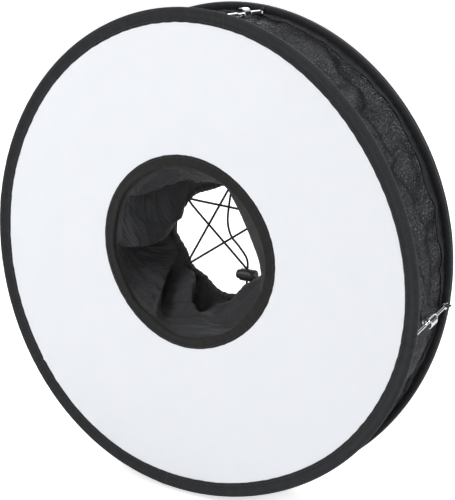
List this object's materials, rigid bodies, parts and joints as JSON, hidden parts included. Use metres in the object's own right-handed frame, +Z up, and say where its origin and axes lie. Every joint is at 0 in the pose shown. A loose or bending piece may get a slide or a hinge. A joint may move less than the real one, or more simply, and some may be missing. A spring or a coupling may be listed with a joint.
{
  "type": "ring flash softbox",
  "caption": "Collapsible ring softbox: white front diffuser with a lens hole, black coated side wall, folding chrome struts, laced lens opening and a rear sleeve for a flash head.",
  "frame": {"origin": "on the axis of the lens opening, in the plane of the rear hoop; the outer ring's own axis passes through x 0.004, z -0.007", "axes": "+Y along the ring's axis from the diffuser to the camera, +Z up towards the flash sleeve, +X to the right as the diffuser is looked at"},
  "size_m": [0.4604, 0.1278, 0.4602],
  "materials": {
    "edge_tape": "matte",
    "trim_tape": "matte",
    "diffuser_cloth": "matte",
    "wall_cloth": "satin",
    "panel_cloth": "matte",
    "reflector_foil": "gloss",
    "sleeve_cloth": "matte",
    "elastic": "matte",
    "hook_and_loop": "matte",
    "spring_steel": "satin",
    "bright_chrome": "polished",
    "magnet_plate": "polished",
    "lock_plastic": "matte"
  },
  "bodies": {
    "rear_frame": {"rear_hoop_wire": "spring_steel", "rear_hoop_ferrule": "spring_steel", "rear_binding": "edge_tape", "rear_panel": "panel_cloth", "rear_reflector": "reflector_foil", "rear_hole_trim": "trim_tape", "rear_strut_loops": "elastic", "side_wall": "wall_cloth", "inner_sleeve": "sleeve_cloth", "lens_cuff": "sleeve_cloth", "lens_drawcord": "elastic", "cord_lock_body": "lock_plastic", "cord_lock_spring": "spring_steel", "flash_sleeve": "panel_cloth", "flash_sleeve_hem": "elastic", "flash_strap": "hook_and_loop", "strap_ring": "bright_chrome"},
    "front_frame": {"front_hoop_wire": "spring_steel", "front_hoop_ferrule": "spring_steel", "front_binding": "edge_tape", "front_diffuser": "diffuser_cloth", "front_hole_trim": "trim_tape", "hole_wire": "spring_steel", "front_strut_loops": "elastic"},
    "lock_plunger": {"cord_lock_plunger": "lock_plastic"},
    "front_strut_1": {"front_rod_1": "bright_chrome"},
    "rear_strut_1": {"rear_rod_1": "bright_chrome", "magnet_cup_1": "bright_chrome", "magnet_1": "magnet_plate"},
    "front_strut_2": {"front_rod_2": "bright_chrome"},
    "rear_strut_2": {"rear_rod_2": "bright_chrome", "magnet_cup_2": "bright_chrome", "magnet_2": "magnet_plate"},
    "front_strut_3": {"front_rod_3": "bright_chrome"},
    "rear_strut_3": {"rear_rod_3": "bright_chrome", "magnet_cup_3": "bright_chrome", "magnet_3": "magnet_plate"},
    "front_strut_4": {"front_rod_4": "bright_chrome"},
    "rear_strut_4": {"rear_rod_4": "bright_chrome", "magnet_cup_4": "bright_chrome", "magnet_4": "magnet_plate"}
  },
  "joints": [
    {"name": "depth_collapse", "type": "slide", "parent": "rear_frame", "child": "front_frame", "axis": [0, 1, 0], "range_m": [0, 0.052], "deforming": ["side_wall", "inner_sleeve"]},
    {"name": "cord_lock_press", "type": "slide", "parent": "rear_frame", "child": "lock_plunger", "axis": [1, 0, 0], "range_m": [0, 0.003], "stiffness_N_per_m": 300, "springref_m": -0.001, "deforming": ["cord_lock_spring"]},
    {"name": "front_strut_1_fold", "type": "hinge", "parent": "front_frame", "child": "front_strut_1", "pos_m": [0.03556, -0.068, 0.21759], "axis": [0.1392, 0, 0.9903], "range_deg": [0, 80]},
    {"name": "rear_strut_1_fold", "type": "hinge", "parent": "rear_frame", "child": "rear_strut_1", "pos_m": [0.03556, -0.007, 0.21759], "axis": [0.1392, 0, 0.9903], "range_deg": [0, 80]},
    {"name": "front_strut_2_fold", "type": "hinge", "parent": "front_frame", "child": "front_strut_2", "pos_m": [0.22769, -0.068, -0.045], "axis": [-0.9903, 0, 0.1392], "range_deg": [0, 92.93]},
    {"name": "rear_strut_2_fold", "type": "hinge", "parent": "rear_frame", "child": "rear_strut_2", "pos_m": [0.22964, -0.007, -0.03114], "axis": [-0.9903, 0, 0.1392], "range_deg": [0, 92.93]},
    {"name": "front_strut_3_fold", "type": "hinge", "parent": "front_frame", "child": "front_strut_3", "pos_m": [-0.02756, -0.068, -0.23159], "axis": [-0.1392, 0, -0.9903], "range_deg": [0, 80]},
    {"name": "rear_strut_3_fold", "type": "hinge", "parent": "rear_frame", "child": "rear_strut_3", "pos_m": [-0.02756, -0.007, -0.23159], "axis": [-0.1392, 0, -0.9903], "range_deg": [0, 80]},
    {"name": "front_strut_4_fold", "type": "hinge", "parent": "front_frame", "child": "front_strut_4", "pos_m": [-0.22059, -0.068, 0.02456], "axis": [0.9903, 0, -0.1392], "range_deg": [0, 80]},
    {"name": "rear_strut_4_fold", "type": "hinge", "parent": "rear_frame", "child": "rear_strut_4", "pos_m": [-0.22059, -0.007, 0.02456], "axis": [0.9903, 0, -0.1392], "range_deg": [0, 80]}
  ],
  "couplings": [
    {"joint": "front_strut_1_fold", "follows": "depth_collapse", "rad_per_m": 26.85},
    {"joint": "rear_strut_1_fold", "follows": "depth_collapse", "rad_per_m": 26.85},
    {"joint": "front_strut_2_fold", "follows": "depth_collapse", "rad_per_m": 31.18},
    {"joint": "rear_strut_2_fold", "follows": "depth_collapse", "rad_per_m": 31.18},
    {"joint": "front_strut_3_fold", "follows": "depth_collapse", "rad_per_m": 26.85},
    {"joint": "rear_strut_3_fold", "follows": "depth_collapse", "rad_per_m": 26.85},
    {"joint": "front_strut_4_fold", "follows": "depth_collapse", "rad_per_m": 26.85},
    {"joint": "rear_strut_4_fold", "follows": "depth_collapse", "rad_per_m": 26.85}
  ]
}
